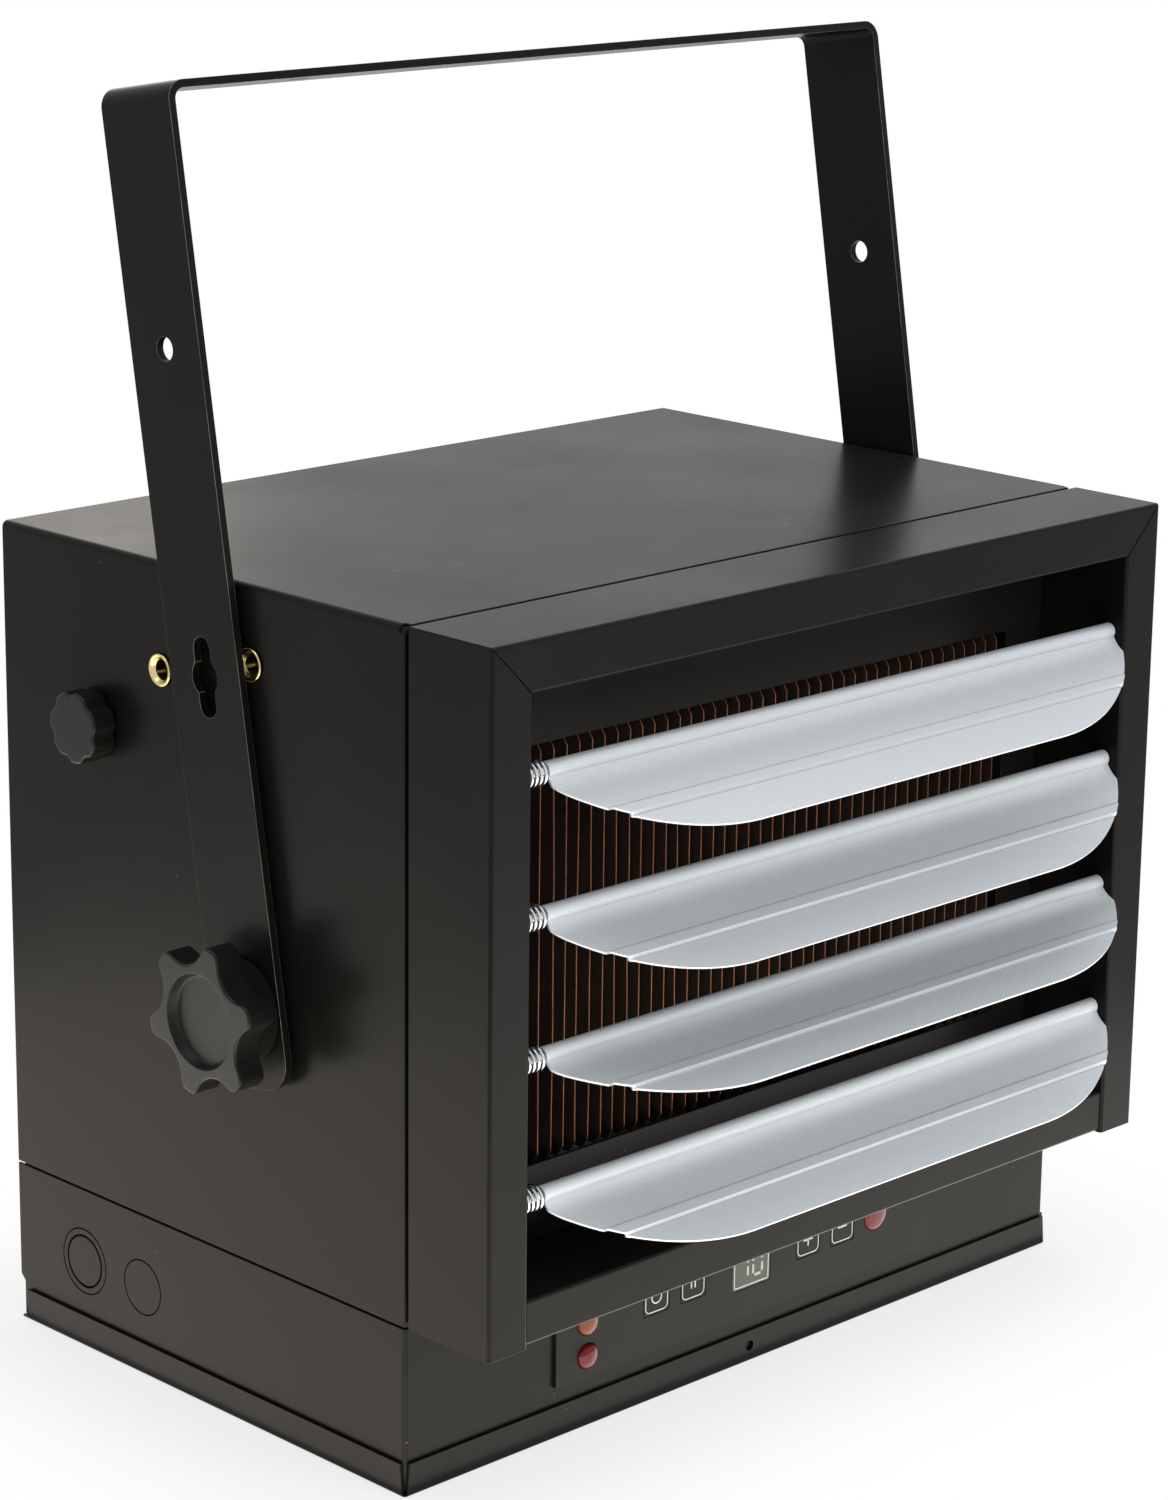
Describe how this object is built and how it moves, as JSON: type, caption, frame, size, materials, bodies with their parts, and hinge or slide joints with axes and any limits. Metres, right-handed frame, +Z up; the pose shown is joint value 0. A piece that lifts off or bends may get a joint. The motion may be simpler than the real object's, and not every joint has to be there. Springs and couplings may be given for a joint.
{
  "type": "ceiling mounted fan heater",
  "caption": "Box shaped fan heater with a louvred front, a control base and a U shaped strap that tilts for hanging from a ceiling.",
  "frame": {"origin": "centre of the underside of the base pan, halfway between the cabinet sides and halfway along the cabinet", "axes": "+Z up, -Y towards the louvres and the warm air, -X towards the side with the conduit knockouts"},
  "size_m": [0.416, 0.3103, 0.5009],
  "materials": {
    "black_paint": "satin black baked paint on sheet steel",
    "grey_paint": "satin silver grey paint",
    "zinc": "bright zinc plate",
    "yellow_zinc": "yellow chromate zinc plate",
    "copper": "heat browned copper",
    "steel": "plain sheet steel",
    "knob_plastic": "moulded black plastic",
    "overlay_film": "printed polyester film, dark grey",
    "red_lens": "clear red plastic",
    "amber_lens": "clear amber plastic",
    "display_glass": "tinted display window",
    "board_green": "circuit board",
    "housing_plastic": "black moulded housings",
    "dark_rubber": "black rubber"
  },
  "bodies": {
    "heater": {"cabinet_shell": "black_paint", "rear_panel": "black_paint", "baffle_plate": "black_paint", "frame_top_rail": "black_paint", "frame_stile_left": "black_paint", "frame_stile_right": "black_paint", "frame_bottom_rail": "black_paint", "motor_mount": "black_paint", "base_box": "black_paint", "bottom_pan": "black_paint", "airway_floor": "steel", "element_bracket_left": "steel", "element_bracket_right": "steel", "fan_motor": "steel", "fan_guard": "zinc", "louvre_pin_1": "zinc", "louvre_spring_1": "zinc", "louvre_pin_2": "zinc", "louvre_spring_2": "zinc", "louvre_pin_3": "zinc", "louvre_spring_3": "zinc", "louvre_pin_4": "zinc", "louvre_spring_4": "zinc", "finned_element": "copper", "limit_thermostat": "housing_plastic", "power_relay": "housing_plastic", "terminal_block": "housing_plastic", "control_overlay": "overlay_film", "display_lens": "display_glass", "power_lamp": "red_lens", "remote_receiver": "red_lens", "heat_lamp": "amber_lens", "control_board": "board_green", "strap_spacer_left": "dark_rubber", "strap_spacer_right": "dark_rubber", "rivet_nut_first_left": "yellow_zinc", "rivet_nut_second_left": "yellow_zinc", "rivet_nut_third_left": "yellow_zinc", "rivet_nut_pivot_left": "yellow_zinc", "rivet_nut_first_right": "yellow_zinc", "rivet_nut_second_right": "yellow_zinc", "rivet_nut_third_right": "yellow_zinc", "rivet_nut_pivot_right": "yellow_zinc"},
    "bracket": {"bracket_strap": "black_paint"},
    "fan": {"fan_blade": "grey_paint", "motor_shaft": "zinc"},
    "louvre_1": {"louvre_blade_1": "grey_paint"},
    "louvre_2": {"louvre_blade_2": "grey_paint"},
    "louvre_3": {"louvre_blade_3": "grey_paint"},
    "louvre_4": {"louvre_blade_4": "grey_paint"},
    "clamp_left": {"clamp_knob_left": "knob_plastic", "clamp_stud_left": "zinc"},
    "lock_left": {"lock_knob_left": "knob_plastic"},
    "clamp_right": {"clamp_knob_right": "knob_plastic", "clamp_stud_right": "zinc"},
    "lock_right": {"lock_knob_right": "knob_plastic"},
    "key_power": {"key_power": "overlay_film"},
    "key_mode": {"key_mode": "overlay_film"},
    "key_plus": {"key_plus": "overlay_film"},
    "key_minus": {"key_minus": "overlay_film"}
  },
  "joints": [
    {"name": "bracket_tilt", "type": "hinge", "parent": "heater", "child": "bracket", "pos_m": [0, -0.0339, 0.168], "axis": [1, 0, 0], "range_deg": [-20, 100]},
    {"name": "louvre_1_tilt", "type": "hinge", "parent": "heater", "child": "louvre_1", "pos_m": [0, -0.1507, 0.2753], "axis": [1, 0, 0], "range_deg": [-29.6, 43.4]},
    {"name": "louvre_2_tilt", "type": "hinge", "parent": "heater", "child": "louvre_2", "pos_m": [0, -0.1507, 0.2233], "axis": [1, 0, 0], "range_deg": [-30.6, 42.4]},
    {"name": "louvre_3_tilt", "type": "hinge", "parent": "heater", "child": "louvre_3", "pos_m": [0, -0.1507, 0.1713], "axis": [1, 0, 0], "range_deg": [-18, 55]},
    {"name": "louvre_4_tilt", "type": "hinge", "parent": "heater", "child": "louvre_4", "pos_m": [0, -0.1507, 0.1193], "axis": [1, 0, 0], "range_deg": [-27.7, 45.3]},
    {"name": "clamp_left_turn", "type": "hinge", "parent": "heater", "child": "clamp_left", "pos_m": [0, -0.0339, 0.168], "axis": [1, 0, 0], "continuous": true},
    {"name": "lock_left_turn", "type": "hinge", "parent": "heater", "child": "lock_left", "pos_m": [0, 0.05849, 0.25659], "axis": [1, 0, 0], "continuous": true},
    {"name": "clamp_right_turn", "type": "hinge", "parent": "heater", "child": "clamp_right", "pos_m": [0, -0.0339, 0.168], "axis": [1, 0, 0], "continuous": true},
    {"name": "lock_right_turn", "type": "hinge", "parent": "heater", "child": "lock_right", "pos_m": [0, 0.05849, 0.25659], "axis": [1, 0, 0], "continuous": true},
    {"name": "fan_spin", "type": "hinge", "parent": "heater", "child": "fan", "pos_m": [0, 0.094, 0.1955], "axis": [0, 1, 0], "continuous": true},
    {"name": "key_power_press", "type": "slide", "parent": "heater", "child": "key_power", "axis": [0, 1, 0], "range_m": [0, 0.00035], "stiffness_N_per_m": 2500},
    {"name": "key_mode_press", "type": "slide", "parent": "heater", "child": "key_mode", "axis": [0, 1, 0], "range_m": [0, 0.00035], "stiffness_N_per_m": 2500},
    {"name": "key_plus_press", "type": "slide", "parent": "heater", "child": "key_plus", "axis": [0, 1, 0], "range_m": [0, 0.00035], "stiffness_N_per_m": 2500},
    {"name": "key_minus_press", "type": "slide", "parent": "heater", "child": "key_minus", "axis": [0, 1, 0], "range_m": [0, 0.00035], "stiffness_N_per_m": 2500}
  ]
}
